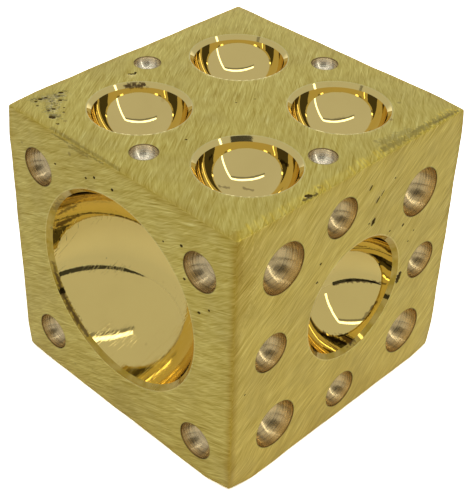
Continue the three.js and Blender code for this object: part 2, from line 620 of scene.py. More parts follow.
@dataclass
class BlockBody:
    """The block's whole surface. Lengths are in millimetres.

    Attributes:
        half: Half of the block's three sides.
        edge_steps: How many parts an edge is divided into.
        grid: The spacing of points in the middle of a face.
        rows: How far each row of points beside an edge stands from it, and how many of the edge's points
            there are to each of its own.
        row_share: The share of that distance by which a row's ends keep from the next edges.
        rings: How far each ring of points round a mouth stands from it.
        pit_room: How far from a pit's middle other points keep, as a share of its length.
        clear: How far loose points keep from a face's edge, and from a mouth or pit.
        weld: How far apart points may be and still be one.
        first_seed: What turns the hollows of the first set.
        edge_radius: How far the file eased an edge.
        edge_spread: The least share of that radius that an edge has, and how much more the roundest has.
        edge_draw: What an edge's number is multiplied by before a share is drawn for it.
        edge_sway: The waves of the radius along an edge: their height as a share, pace and shift.
        edge_blend: How smoothly one edge's radius goes over into the next one's.
        tip: How much sharper an edge is at its corner, and how far from it.
        roll: How deep a face falls away beside an edge, and how far in from it.
        wave_height: How uneven the faces are.
        lip: How deep the buff rolled the metal over at a bowl's mouth, and how far out from it.
        crease_degrees: The angle from which an edge in a bowl looks sharp.
        hollows: The hollows that are cut.
    """

    half: np.ndarray
    edge_steps: int = 160
    grid: float = 1.4
    rows: tuple[tuple[float, int], ...] = ((0.18, 1), (0.4, 1), (0.7, 2), (1.05, 2), (1.5, 2), (2.2, 4))
    row_share: float = 0.999
    rings: Triple = (0.16, 0.34, 0.7)
    pit_room: float = 0.75
    clear: Pair = (0.1, 0.12)
    weld: float = 2e-3
    first_seed: int = 11
    edge_radius: float = 0.45
    edge_spread: Pair = (0.85, 0.3)
    edge_draw: float = 7.3
    edge_sway: tuple[Triple, ...] = ((0.18, 0.31, 2.1), (0.1, 0.83, 1.0))
    edge_blend: float = 0.4
    tip: Pair = (0.5, 2.5)
    roll: Pair = (0.06, 1.7)
    wave_height: float = 0.012
    lip: Pair = (0.07, 0.16)
    crease_degrees: float = 16.0
    hollows: list[Hollow] = field(default_factory=list)

    # How far each corner's tip is drawn in, and how far from it the wear reaches, by the signs of its place.
    corner_wear = {
        (1, -1, 1): (0.45, 3.0),
        (1, -1, -1): (1.0, 5.5),
        (-1, -1, 1): (0.55, 6.0),
        (1, 1, 1): (0.45, 5.0),
        (1, 1, -1): (0.6, 6.0),
        (-1, -1, -1): (0.4, 5.0),
        (-1, 1, 1): (0.1, 3.0),
        (-1, 1, -1): (0.4, 4.0),
    }

    # How strongly the file marked an edge and how far handling warmed it, by the edge's number.
    edge_wear = {7: (1.0, 0.25), 1: (0.05, 0.3), 10: (0.0, 0.8)}
    other_wear = (0.1, 0.4)

    # What keeps one face's or edge's marks from another's, and what stands for far from every mouth.
    face_shift, edge_shift, far = 40.0, 60.0, 50.0

    def face_size(self, face: Face) -> tuple[np.ndarray, float]:
        """Half of a face's width and height, and how far it stands from the block's middle."""
        a, b, c = np.abs(face.axes() @ self.half)
        return np.array([a, b]), c

    def numbered(self, face: Face | None = None) -> list[tuple[int, Hollow]]:
        """The hollows, or one face's, with their numbers, which follow on from the faces'."""
        return [(n, h) for n, h in enumerate(self.hollows, len(Face)) if face in (None, h.kind.face)]

    def add_hollows(self, cutter: HollowCutter, finishes: dict[Finish, bpy.types.Material]) -> None:
        """Cuts every set of hollows.

        Args:
            cutter: What makes their surfaces.
            finishes: The material of each finish.
        """
        for seed, kind in enumerate(HOLLOWS, self.first_seed):
            places = np.array(kind.shares) * 2 * self.face_size(kind.face)[0]
            points, faces = cutter.cut(kind, places, seed, finishes[kind.finish])
            pairs = zip(places, points, strict=True)
            self.hollows += [Hollow(kind, place, own, faces) for place, own in pairs]
            log.info("%s: %d hollows of %.1f mm", kind.face.name.lower(), len(places), kind.mouth)

    def loose_points(self, face: Face, side: np.ndarray) -> np.ndarray:
        """Spreads points over a face, closer together beside its edges, mouths and pits.

        Args:
            face: The face.
            side: The shares of an edge where its points are, from -1 to 1.

        Returns:
            The points across and up the face.
        """
        half, _ = self.face_size(face)
        pits = [p for p in PITS if p.face is face]
        free: list[np.ndarray] = []
        for inset, skip in self.rows:
            for turn in (1, -1):
                long, wide = half[::turn]
                kept = side[::skip] * long
                kept = kept[np.abs(kept) < long - inset * self.row_share]
                for level in (inset - wide, wide - inset):
                    free.append(np.stack([kept, np.full(len(kept), level)], 1)[:, ::turn])
        inner = half - self.rows[-1][0] - self.grid * 0.5
        counts = np.round(2 * inner / self.grid).astype(int)
        cells = np.meshgrid(*(np.linspace(-i, i, n + 1) for i, n in zip(inner, counts, strict=True)))
        spare = np.concatenate([*free, np.stack(cells, -1).reshape(-1, 2)])
        for pit in pits:
            off = np.hypot(*(spare - (pit.across, pit.up)).T)
            spare = spare[off > pit.length * self.pit_room + self.clear[1]]
        own = [hollow for _, hollow in self.numbered(face)]
        rings = [
            h.place + (h.kind.mouth / 2 + gap) * circle(h.kind.around // 2) for h in own for gap in self.rings
        ]
        loose = np.concatenate([spare, *rings, *(pit.points() for pit in pits)])
        keep = np.all(np.abs(loose) < half - self.clear[0], axis=1)
        for hollow in own:
            keep &= hollow.gap(loose) > self.clear[1]
        return loose[keep]

    def plate(self, face: Face) -> tuple[np.ndarray, np.ndarray]:
        """Lays out one flat face round the mouths of its hollows.

        Args:
            face: The face.

        Returns:
            Its points across and up, and its triangles.
        """
        own = [hollow for _, hollow in self.numbered(face)]
        side = np.linspace(-1, 1, self.edge_steps + 1)
        there, back, one = side[:-1], side[:0:-1], np.ones(self.edge_steps)
        sides = [np.stack(pair, 1) for pair in ((there, -one), (one, there), (back, one), (-one, back))]
        closed = [np.concatenate(sides) * self.face_size(face)[0], *(hollow.rim() for hollow in own)]
        loops, start = [], 0
        for ring in closed:
            count = len(ring)
            loops += [(start + i, start + (i + 1) % count) for i in range(count)]
            start += count
        flat = np.concatenate([*closed, self.loose_points(face, side)])
        result = delaunay_2d_cdt([Vector(p) for p in flat], loops, [], 0, 1e-5, False)
        corners, triangles = np.array([tuple(v) for v in result[0]]), np.array(result[2])
        middles = corners[triangles].mean(1)
        solid = np.ones(len(triangles), bool)
        for hollow in own:
            solid &= hollow.gap(middles) > -CHORD_SLACK * hollow.kind.mouth
        log.info("%s face: %d triangles", face.name.lower(), solid.sum())
        return corners, triangles[solid]

    def sharp_mesh(self) -> bpy.types.Mesh:
        """Joins the flat faces and the hollows into one closed mesh, before its edges are eased.

        Returns:
            The mesh. Its region attribute has the number of the face or hollow that each polygon is of.
        """
        patches = [(face, *self.plate(face)) for face in Face]
        patches += [(h.kind.face, h.points, h.faces) for h in self.hollows]
        points, faces, regions, start = [], [], [], 0
        for number, (face, local, polygons) in enumerate(patches):
            axes, (_, stand) = face.axes(), self.face_size(face)
            points.append(local @ axes[: local.shape[1]] + axes[2] * stand)
            faces += [[start + i for i in polygon] for polygon in polygons]
            regions += [number] * len(polygons)
            start += len(local)
        mesh = bpy.data.meshes.new(NODE)
        mesh.from_pydata(np.concatenate(points).tolist(), [], faces)
        mesh.attributes.new("region", "INT", "FACE").data.foreach_set("value", regions)
        work = bmesh.new()
        work.from_mesh(mesh)
        bmesh.ops.remove_doubles(work, verts=work.verts, dist=self.weld)
        bmesh.ops.recalc_face_normals(work, faces=work.faces)
        bmesh.ops.triangulate(work, faces=work.faces)
        open_edges = sum(not e.is_manifold for e in work.edges)
        work.to_mesh(mesh)
        work.free()
        if open_edges:
            log.warning("the block has %d open edges", open_edges)
        return mesh

    def edge_facts(self, points: np.ndarray) -> tuple[np.ndarray, np.ndarray]:
        """Finds where points on the sharp block lie beside its edges.

        Args:
            points: The points.

        Returns:
            For each point and each of the three edges that meet at its nearest corner, by the direction that
            the edge runs in: the distance to the edge, and the edge's number from 0 to 11.
        """
        gaps, signs = self.half - np.abs(points), (points > 0).astype(int)
        distance, number = np.zeros_like(points), np.zeros(points.shape, int)
        for k in range(3):
            i, j = (k + 1) % 3, (k + 2) % 3
            distance[:, k] = np.hypot(gaps[:, i], gaps[:, j])
            number[:, k] = k * 4 + signs[:, i] * 2 + signs[:, j]
        return distance, number

    def eased(self, points: np.ndarray) -> tuple[np.ndarray, np.ndarray]:
        """Moves points of the sharp block to its eased edges and worn faces.

        Args:
            points: Points on the sharp block.

        Returns:
            The moved points, and the directions out of the metal there.
        """
        distance, number = self.edge_facts(points)
        least, spread = self.edge_spread
        own = self.edge_radius * (least + spread * pseudo(number * self.edge_draw))
        own = own * sum((a * np.sin(points * pace + number * shift) for a, pace, shift in self.edge_sway), 1)
        weight = 1 / (distance + self.edge_blend) ** 4
        radius = (own * weight).sum(1, keepdims=True) / weight.sum(1, keepdims=True)
        from_tip = np.linalg.norm(self.half - np.abs(points), axis=1, keepdims=True)
        radius = radius * (1 - self.tip[0] * bell(from_tip, self.tip[1]))
        core = np.clip(points, radius - self.half, self.half - radius)
        away = points - core
        normal = away / np.maximum(np.linalg.norm(away, axis=1, keepdims=True), 1e-9)
        depth, reach = self.roll
        height = self.wave_height * waves(points) - depth * bell(distance.min(1), reach)
        moved = core + normal * (radius + height[:, None])
        for signs, (cut, reach) in self.corner_wear.items():
            off = np.linalg.norm(points - self.half * signs, axis=1)
            drawn = cut * np.clip(1 - off / reach, 0, 1) ** 1.2
            moved = moved - np.outer(drawn, np.array(signs, float) / math.sqrt(3))
        return moved, normal

    def build(self) -> bpy.types.Object:
        """Makes the block's mesh and object.

        Returns:
            The object, at the origin, in metres.
        """
        mesh = self.sharp_mesh()
        points = listed(mesh.vertices, "co", float, 3)
        loops = listed(mesh.loops, "vertex_index", int)
        region = listed(mesh.attributes["region"].data, "value", int)
        corner_region = np.repeat(region, 3)
        used = [np.unique(loops[corner_region == n]) for n in range(len(Face) + len(self.hollows))]

        surface = points.copy()
        for number, hollow in self.numbered():
            inner, out = used[number], hollow.kind.face.axes()[2]
            surface[inner] += np.outer(self.face_size(hollow.kind.face)[1] - points[inner] @ out, out)
        moved, normal = self.eased(surface)
        pit_share = np.zeros(len(points))
        lip_depth, lip_reach = self.lip
        for face in Face:
            own = used[face.number]
            flat = points[own] @ face.axes()[:2].T
            sunk, lips = np.zeros(len(own)), np.zeros(len(own))
            for pit in (p for p in PITS if p.face is face):
                share = pit.share(flat)
                sunk = np.maximum(sunk, pit.depth * share)
                pit_share[own] = np.maximum(pit_share[own], share)
            for _, hollow in self.numbered(face):
                if hollow.kind.finish is Finish.POLISHED:
                    lips = np.maximum(lips, lip_depth * bell(hollow.gap(flat), lip_reach))
            moved[own] -= normal[own] * (sunk + lips)[:, None]
        for number, hollow in self.numbered():
            if hollow.kind.finish is Finish.POLISHED:
                inner = used[number]
                deep = np.abs(points[inner] - surface[inner]).sum(1)
                share = np.where(deep > 1e-3, np.clip(1 - deep / hollow.kind.chamfer_drop, 0, 1), 0.0)
                moved[inner] -= normal[inner] * (lip_depth * share)[:, None]

        self.write_corners(mesh, points[loops], corner_region)
        self.write_points(mesh, surface, pit_share)
        final = (points + moved - surface + (0, 0, self.half[2])) * MM
        mesh.vertices.foreach_set("co", final.ravel())
        mesh.attributes.remove(mesh.attributes["region"])
        self.set_finishes(mesh, region)
        mesh.update()
        made = new_object("brass_block", mesh)
        log.info("block: %d triangles", len(mesh.polygons))
        return made

    def write_corners(self, mesh: bpy.types.Mesh, places: np.ndarray, regions: np.ndarray) -> None:
        """Stores what the finishes read at each corner of the mesh's triangles.

        dressing is the place in millimetres along and across the strokes on a face, or from the axis and from
        the pole in a hollow. spread is the direction across the tool marks. mouth has the distance from the
        nearest bowl's mouth and from the nearest dimple's rim, and in a bowl the height above the foot of its
        chamfer. buffing has what its set says. OFBake is the layout that every colour is baked through.

        Args:
            mesh: The mesh.
            places: The place of each corner on the sharp block.
            regions: The number of the face or hollow that each is of.
        """
        count = len(places)
        dressing, spread, buffing = (np.zeros((count, 3)) for _ in range(3))
        mouth, layout = np.full((count, 3), self.far), np.zeros((count, 2))
        for face in Face:
            axes, (half, stand) = face.axes(), self.face_size(face)
            here = np.flatnonzero(regions == face.number)
            flat = places[here] @ axes[:2].T
            strokes = turned(face.value.stroke_degrees)
            dressing[here, :2], dressing[here, 2] = flat @ strokes.T, self.face_shift * face.number
            spread[here] = strokes[1] @ axes[:2]
            layout[here] = self.cell(face, flat, half)
            for _, hollow in self.numbered(face):
                column = int(hollow.kind.finish is Finish.MACHINED)
                mouth[here, column] = np.minimum(mouth[here, column], hollow.gap(flat))
            for number, hollow in self.numbered(face):
                kind, here = hollow.kind, np.flatnonzero(regions == number)
                local = places[here] @ axes.T
                off, deep = local[:, :2] - hollow.place, stand - local[:, 2]
                reach = np.hypot(*off.T)
                arc = kind.ball_radius * np.arctan2(reach, kind.ball_height + deep)
                whole = kind.ball_radius * math.atan2(kind.mouth / 2, kind.ball_height)
                unit = off / np.maximum(reach, 1e-6)[:, None]
                lean = (arc / kind.ball_radius)[:, None]
                dressing[here] = np.column_stack([off, arc])
                spread[here] = unit @ axes[:2] * np.cos(lean) + axes[2] * np.sin(lean)
                mouth[here, int(kind.finish is Finish.MACHINED)] = arc - whole
                mouth[here, 2] = kind.chamfer_drop - deep
                buffing[here, :2] = kind.buffing
                laid = hollow.place + unit * (kind.mouth / 2 * arc / whole)[:, None]
                layout[here] = self.cell(face, laid, half)
        store(mesh, "CORNER", dressing=dressing, spread=spread, mouth=mouth, buffing=buffing)
        mesh.uv_layers.new(name="OFBake").data.foreach_set("uv", layout.ravel())

    @staticmethod
    def cell(face: Face, flat: np.ndarray, half: np.ndarray) -> np.ndarray:
        """Turns places on a face into places in its cell of the bake's layout, which is three by two cells.

        Args:
            face: The face.
            flat: The places across and up it.
            half: Half of its width and height.

        Returns:
            The places in the layout.
        """
        share = (flat / half + 1) / 2
        if face is Face.TOP:
            share = share[:, ::-1]
        gap, size = 0.004, np.array([1 / 3, 1 / 2])
        return size * (face.number % 3, face.number // 3) + gap + share * (size - 2 * gap)

    def write_points(self, mesh: bpy.types.Mesh, surface: np.ndarray, pit_share: np.ndarray) -> None:
        """Stores what the finishes read at each point of the mesh.

        rim has the distance to the nearest edge, the place along it with the edge's number, and how far the
        point is in a pit. wear has how strongly the nearest edge is filed and warmed.

        Args:
            mesh: The mesh.
            surface: Its points on the sharp block.
            pit_share: How far each is in a pit.
        """
        distance, number = self.edge_facts(surface)
        nearest = np.arange(len(surface)), distance.argmin(1)
        edges = number[nearest]
        rim = np.stack([distance[nearest], surface[nearest] + self.edge_shift * edges, pit_share], 1)
        wear = np.tile([*self.other_wear, 0.0], (len(surface), 1))
        for edge, marks in self.edge_wear.items():
            wear[edges == edge, :2] = marks
        store(mesh, "POINT", rim=rim, wear=wear)

    def set_finishes(self, mesh: bpy.types.Mesh, region: np.ndarray) -> None:
        """Gives each polygon its finish, smooths the mesh, and keeps rims and the edges of chamfers sharp.

        Args:
            mesh: The mesh.
            region: The number of the face or hollow that each polygon is of.
        """
        finishes = {finish: number for number, finish in enumerate(Finish, len(Face))}
        slots = np.array([*range(len(Face)), *(finishes[h.kind.finish] for h in self.hollows)])
        mesh.polygons.foreach_set("material_index", slots[region])
        mesh.polygons.foreach_set("use_smooth", np.ones(len(region), bool))
        crease = math.radians(self.crease_degrees)
        work = bmesh.new()
        work.from_mesh(mesh)
        for edge in work.edges:
            worn = {f.material_index for f in edge.link_faces}
            creased = finishes[Finish.POLISHED] in worn and edge.calc_face_angle(0.0) > crease
            edge.smooth = not (creased or (finishes[Finish.MACHINED] in worn and len(worn) > 1))
        work.to_mesh(mesh)
        work.free()


def listed(items: bpy.types.bpy_prop_collection, name: str, kind: type, width: int = 1) -> np.ndarray:
    """Lists one property of many items.

    Args:
        items: The items.
        name: The property.
        kind: The type of its numbers.
        width: How many numbers each item has.

    Returns:
        The numbers, with a row for each item where it has more than one.
    """
    found = np.empty(len(items) * width, kind)
    items.foreach_get(name, found)
    return found.reshape(-1, width) if width > 1 else found


def store(mesh: bpy.types.Mesh, domain: str, **stored: np.ndarray) -> None:
    """Stores vectors on a mesh's corners or points, under the names that the finishes read them by."""
    for name, values in stored.items():
        mesh.attributes.new(name, "FLOAT_VECTOR", domain).data.foreach_set("vector", values.ravel())


def turned(degrees: float) -> np.ndarray:
    """Two directions square to each other, as rows. The first is at this angle."""
    c, s = math.cos(math.radians(degrees)), math.sin(math.radians(degrees))
    return np.array([[c, s], [-s, c]])


def bell(distance: np.ndarray, reach: float) -> np.ndarray:
    """A smooth fall from 1 towards 0 over about twice the reach."""
    return np.exp(-((distance / reach) ** 2))


def pseudo(values: np.ndarray) -> np.ndarray:
    """Numbers from 0 to 1 that look drawn at random, and are the same for the same value."""
    return (np.sin(values * 12.9898 + 4.1) * 43758.5453) % 1.0


def waves(points: np.ndarray) -> np.ndarray:
    """Works out the gentle unevenness that hand dressing leaves.

    Args:
        points: The places in millimetres.

    Returns:
        The height there, from about -1 to 1.
    """
    count, shortest, longest, seed = 7, 7, 22, 5
    total = np.zeros(len(points))
    draw = np.random.default_rng(seed)
    for _ in range(count):
        direction = draw.normal(size=3)
        length = draw.uniform(shortest, longest)
        direction *= math.tau / length / np.linalg.norm(direction)
        total += np.sin(points @ direction + draw.uniform(0, math.tau))
    return total / 3


# Finishes.


def stroke_marks() -> bpy.types.NodeTree:
    """Builds the marks of a belt: fine lines in patches of two directions, and light and dark hairlines.

    Returns:
        The group. Its outputs are the shade of the lines round 0.5, their height, and where the light and the
        dark hairlines are.
    """
    inputs = {"Place": "Vector", "Pitch": 0.2, "Length": 5.0, "Bow": 0.5}
    group = Group("stroke_marks", "Shader", inputs, "Shade Height Glint Scratch")
    given = group.given
    bend = group.noise(group.vector("MULTIPLY", given["Place"], (0.07, 0.07, 1.0)), 1.0, 1.0)
    place = group.vector("ADD", given["Place"], group.combine(0.0, (bend - 0.5) * given["Bow"]))
    stroke = group.combine(given["Length"], given["Pitch"], 1.0)

    def lines(degrees: float, longer: float, wider: float, offset: float, detail: float) -> Signal:
        """Draws noise out into lines."""
        turn = {"Vector": place, "Location": (0, 0, offset), "Rotation": (0, 0, math.radians(degrees))}
        turn["Scale"] = group.vector("MULTIPLY", stroke, (longer, wider, 1.0))
        return group.noise(group.signal("ShaderNodeMapping", turn, vector_type="TEXTURE"), 1.0, detail, 0.6)

    patch = group.noise(group.vector("MULTIPLY", given["Place"], (0.13, 0.2, 1.0)), 1.0, 2.0)
    straight, leaning = lines(0.0, 1.0, 1.0, 0.0, 2.0), lines(13.0, 0.8, 0.9, 5.0, 2.0)
    fine = group.signal("ShaderNodeMix", {0: group.ramp(patch, 0.45, 0.55), 2: straight, 3: leaning})
    shade = fine * 0.6 + lines(-4.0, 1.2, 2.6, 7.0, 1.0) * 0.4
    hair = lines(-6.0, 1.5, 0.8, 19.0, 0.0)
    cross = lines(12.0, 1.1, 0.8, 31.0, 0.0)
    some = group.ramp(patch, 0.62, 0.45, 0.25, 1.0)
    glint = group.ramp(hair, 0.37, 0.27).most(group.ramp(cross, 0.31, 0.22)) * some
    scratch = group.ramp(hair, 0.63, 0.74).most(group.ramp(cross, 0.69, 0.78)) * some
    return group.give(Shade=shade, Height=shade - scratch * 0.5, Glint=glint, Scratch=scratch)


def turning_marks() -> bpy.types.NodeTree:
    """Builds the rings that a turned cutter or a buff leaves round a hollow's axis.

    Returns:
        The group. Its output is the shade of the rings round 0.5, which is their height too.
    """
    group = Group("turning_marks", "Shader", {"Place": "Vector", "Pitch": 0.1, "Sway": 0.05}, "Shade")
    x, y, arc = group.separate(group.given["Place"])
    moved = arc + group.noise(group.combine(x, y), 0.35, 1.0) * group.given["Sway"]
    place = group.combine(x * 0.12, y * 0.12, moved / group.given["Pitch"])
    return group.give(Shade=group.noise(place, 1.0, 2.0, 0.6))


def tarnish() -> bpy.types.NodeTree:
    """Builds the soft patches and dark specks of bare brass that has been handled.

    Returns:
        The group. It puts out the tarnished colour.
    """
    inputs = {"Colour": (1, 1, 1, 1), "Tarnish": (0.2, 0.15, 0.05, 1), "Amount": 0.2, "Specks": 0.5}
    group = Group("tarnish", "Shader", inputs, "Colour", "Color")
    plain, dark, amount, specks = group.given.values()
    place = group.signal("ShaderNodeTexCoord", None, "Object")
    cloud = group.ramp(group.noise(place, 130.0, 3.0, 0.55), 0.4, 0.75)
    cells = group.node("ShaderNodeTexVoronoi", {"Vector": place, "Scale": 420.0}, feature="F1")
    distance, draw = group.signals(cells, "Distance", "Color")
    speck = group.ramp(distance, 0.2, 0.08) * group.ramp(group.separate(draw)[0], 0.93, 0.97)
    return group.give(Colour=group.mix(speck * specks, group.mix(cloud * amount, plain, dark), dark))


@dataclass(frozen=True)
class Smear:
    """A stain, rub, pale patch or painted dark reflection along a straight line. Lengths are in millimetres,
    from the middle of the underside.
    """

    start: Triple
    end: Triple
    width: float
    strength: float
    grain: float = 0.0
    shift: float = 0.0


def on_top(*rows: tuple[float, ...]) -> tuple[Smear, ...]:
    """Smears on the top face, from where each starts and ends across and up it, and what else it has."""
    return tuple(Smear((a, b, 49.0), (c, d, 49.0), *rest) for a, b, c, d, *rest in rows)


def trail(start: Triple, *legs: tuple[float, ...]) -> tuple[Smear, ...]:
    """Smears end to end, from where the first starts and each one's end, width and strength."""
    ends = [start, *(leg[:3] for leg in legs)]
    return tuple(Smear(a, b, *leg[3:]) for a, b, leg in zip(ends[:-1], ends[1:], legs, strict=True))


TOP_SOIL = on_top(
    (23.7, 6.5, 24.1, 23.0, 2.4, 0.4),
    (23.6, 13.5, 24.0, 18.5, 1.7, 0.5),
    (22.3, 8.0, 23.0, 13.5, 3.0, 0.25),
    (24.2, 18.5, 24.3, 24.0, 1.2, 0.6),
    (24.4, -11.9, 24.6, -9.4, 1.0, 0.75),
    (24.85, -22.0, 24.9, 22.0, 0.5, 0.3),
    (-22.2, -21.5, -21.0, -18.0, 4.0, 0.24),
    (-20.5, -20.5, -18.0, -22.6, 3.0, 0.18),
    (-14.3, -25.1, 1.2, -25.3, 1.3, 0.3),
    (-10.7, -25.1, -6.3, -25.2, 1.0, 0.35),
    (-17.0, -22.7, -16.1, -22.4, 1.3, 0.65),
    (-22.4, -21.2, -21.2, -19.9, 0.8, 0.7),
    (-21.3, -18.8, -20.6, -17.8, 0.7, 0.8),
    (-20.1, -18.8, -19.1, -18.4, 0.6, 0.5),
    (-22.9, -22.0, -21.9, -19.9, 1.7, 0.7, 0.9),
    (-21.7, -18.6, -21.5, -16.9, 1.5, 0.75, 0.7),
    (-20.7, -19.3, -18.5, -21.6, 3.4, 0.6, 1.0, 0.01),
    (-18.9, -22.2, -16.0, -22.6, 2.6, 0.6, 1.0, 0.02),
)
# Pale specks between the pits on the top: partly bare metal, partly painted glints.
TOP_PALE = on_top(
    (-21.9, -20.4, -20.6, -17.9, 2.6, 0.7, 1.0, 0.03),
    (-20.4, -19.7, -17.3, -22.4, 3.6, 0.7, 1.0, 0.04),
)
TOP_WARM = on_top((23.6, -24.4, 24.9, -25.6, 3.4, 0.7))
FRONT_WARM = trail((24.4, -25.65, 48.6), (24.8, -25.65, 43.5, 1.6, 0.6))
FRONT_SOIL = (
    Smear((-13.5, -25.65, 48.5), (-2.0, -25.65, 48.6), 0.6, 0.38),
    Smear((-9.5, -25.65, 48.1), (-5.5, -25.65, 48.2), 0.9, 0.3),
)
RIGHT_WARM = (
    Smear((25, -24.9, 48.5), (25, -24.9, 42.0), 2.8, 0.8),
    Smear((25, -23.6, 48.0), (25, -24.0, 36.0), 7.0, 0.35),
    Smear((25, -25.0, 42.0), (25, -25.0, 3.0), 1.9, 0.5),
)
# Partly stains, partly painted dark reflections and painted shade in the polished bowls and on their
# chamfers.
BOWL_STAINS_AND_PAINTED_SHADE = (
    *trail(
        (-16.6, -25.2, 22.6),
        (-16.0, -25.2, 20.5, 0.9, 0.6),
        (-14.8, -25.2, 17.8, 1.2, 0.85),
        (-13.0, -25.2, 15.2, 1.4, 0.85),
        (-10.9, -25.2, 13.2, 1.6, 0.85),
    ),
    *trail(
        (-16.0, -24.23, 29.62),
        (-15.56, -23.33, 30.0, 2.4, 0.9),
        (-14.93, -22.36, 30.63, 2.0, 0.9),
        (-14.19, -21.3, 31.08, 1.4, 0.8),
        (-12.9, -19.8, 31.7, 0.9, 0.6),
    ),
    *trail(
        (17.52, 5.76, 20.38),
        (18.63, 7.72, 20.68, 0.5, 0.8),
        (20.11, 9.25, 20.8, 0.9, 0.9),
        (22.16, 10.58, 21.03, 0.9, 0.85),
        (23.9, 11.25, 21.25, 0.6, 0.75),
    ),
    *trail((20.9, -0.3, 15.6), (22.25, 0.66, 14.74, 1.7, 0.92), (23.53, 1.71, 14.27, 2.6, 0.95)),
    *trail((23.26, 7.13, 16.02), (23.35, 8.43, 17.03, 0.8, 0.6), (23.55, 9.56, 18.2, 0.7, 0.75)),
    Smear((-16.7, -7.9, 48.65), (-15.1, -5.8, 48.65), 1.7, 0.95),
    Smear((-10.9, -25.1, 13.2), (-8.6, -25.1, 11.6), 1.2, 0.75),
    Smear((-11.9, -17.8, 22.1), (-11.7, -17.8, 22.2), 0.5, 0.8),
    Smear((12.88, -4.12, 46.58), (14.6, -4.27, 46.75), 0.9, 0.85),
    Smear((8.36, -12.27, 43.67), (9.12, -10.92, 43.07), 0.7, 0.5),
    Smear((10.38, -9.02, 42.81), (11.58, -8.33, 42.72), 0.7, 0.5),
    Smear((7.65, 14.78, 43.88), (8.53, 15.71, 44.07), 0.8, 0.3),
    Smear((19.3, 8.48, 27.92), (22.33, 10.63, 27.64), 0.6, 0.7),
    Smear((-15.9, -24.73, 30.4), (-16.33, -24.3, 28.2), 0.9, 0.45, 0.3),
    Smear((-15.0, -24.2, 32.6), (-13.33, -22.4, 33.9), 1.6, 0.7),
    Smear((-13.8, -24.0, 35.0), (-7.5, -21.5, 38.6), 6.5, 0.55),
    Smear((-9.5, -21.0, 37.6), (-5.5, -19.7, 38.8), 4.5, 0.45),
    Smear((-12.6, -21.6, 35.9), (-8.6, -17.6, 35.9), 3.4, 0.3),
    Smear((23.13, 2.42, 14.44), (24.22, 2.91, 14.19), 2.4, 0.95),
)


def smear() -> bpy.types.NodeTree:
    """Builds a ragged line of dirt, of bright metal, or of painted dark reflection.

    Returns:
        The group. Its output is the strength on the line and 0 away from it.
    """
    inputs = {"Start": "Vector", "End": "Vector", "Width": 0.001, "Strength": 1.0, "Grain": 0.0, "Shift": 0.0}
    group = Group("smear", "Shader", inputs, "Mask")
    start, end, width, strength, grain, shift = group.given.values()
    place = group.signal("ShaderNodeTexCoord", None, "Object")
    run, off = group.vector("SUBTRACT", end, start), group.vector("SUBTRACT", place, start)
    share = group.vector("DOT_PRODUCT", off, run, output=1) / group.vector("DOT_PRODUCT", run, run, output=1)
    share = share.clamped()
    near = group.vector("MULTIPLY", run, group.combine(share, share, share))
    gap = group.vector("DISTANCE", off, near, output=1)
    reach = width * 0.5 * group.ramp(group.noise(place, 1900.0, 2.0), 0.3, 0.7, 0.25, 1.0)
    moved = group.vector("ADD", place, group.combine(shift, shift))
    holes = group.ramp(group.noise(moved, 2400.0, 3.0, 0.6), 0.56, 0.48)
    return group.give(Mask=group.ramp(gap / reach, 1.3, 0.3) * (1.0 - grain * holes) * strength)


def edge_ticks() -> bpy.types.NodeTree:
    """Builds short file marks square to an edge, in clusters.

    Returns:
        The group. Its outputs are where the metal is bright and where it is dirty.
    """
    inputs = {"Gap": 1.0, "Along": 0.0, "Pitch": 0.76, "Reach": 2.4}
    group = Group("edge_ticks", "Shader", inputs, "Bright Dirty")
    gap, along, pitch, reach = group.given.values()
    row = {"W": along / pitch, "Scale": 1.0}
    cells = group.node("ShaderNodeTexVoronoi", row, voronoi_dimensions="1D")
    distance, draw = group.signals(cells, "Distance", "Color")
    length, light, dark = group.separate(draw)
    cluster = group.ramp(group.noise(group.combine(along * 0.22), 1.0, 2.0), 0.36, 0.52)
    within = group.ramp(gap / (reach * (length * 0.4 + 0.6)), 1.1, 0.7) * cluster
    bar = group.ramp(distance, 0.5, 0.15) * within
    return group.give(Bright=bar * group.ramp(light, 0.2, 0.5), Dirty=bar * group.ramp(dark, 0.84, 0.95))


class FinishShop:
    """The node groups that the finishes share."""

    def __init__(self) -> None:
        """Builds each group once."""
        self.strokes = stroke_marks()
        self.turning = turning_marks()
        self.tarnish = tarnish()
        self.smear = smear()
        self.ticks = edge_ticks()

    def smears(self, graph: Graph, marks: tuple[Smear, ...]) -> Signal | float:
        """Finds where any of several smears lies.

        Args:
            graph: The material's tree.
            marks: The smears.

        Returns:
            The mask.
        """
        total: Signal | float = 0.0
        for mark in marks:
            ends = {"Start": Vector(mark.start) * MM, "End": Vector(mark.end) * MM}
            look = {"Strength": mark.strength, "Grain": mark.grain, "Shift": mark.shift}
            total = graph.group(self.smear, Width=mark.width * MM, **ends, **look)["Mask"].most(total)
        return total


class Metal(Graph):
    """A metal's material under construction."""

    def __init__(self, name: str) -> None:
        """Makes the material with a plain Principled shader."""
        self.material = bpy.data.materials.new(name)
        self.material.use_nodes = True
        super().__init__(self.material.node_tree)

    def finish(self, bump: tuple[Signal, float, float], **inputs: object) -> bpy.types.Material:
        """Feeds the shader.

        Args:
            bump: The height of the marks, how strongly it shows, and its scale in metres.
            **inputs: What the shader's other inputs get, with an underscore for a space.

        Returns:
            The material.
        """
        shader = next(n for n in self.tree.nodes if n.type == "BSDF_PRINCIPLED")
        height = dict(zip(("Height", "Strength", "Distance"), bump, strict=True))
        inputs |= {"Metallic": 1.0, "Normal": self.signal("ShaderNodeBump", height)}
        for name, value in inputs.items():
            self.feed(shader.inputs[name.replace("_", " ")], value)
        return self.material


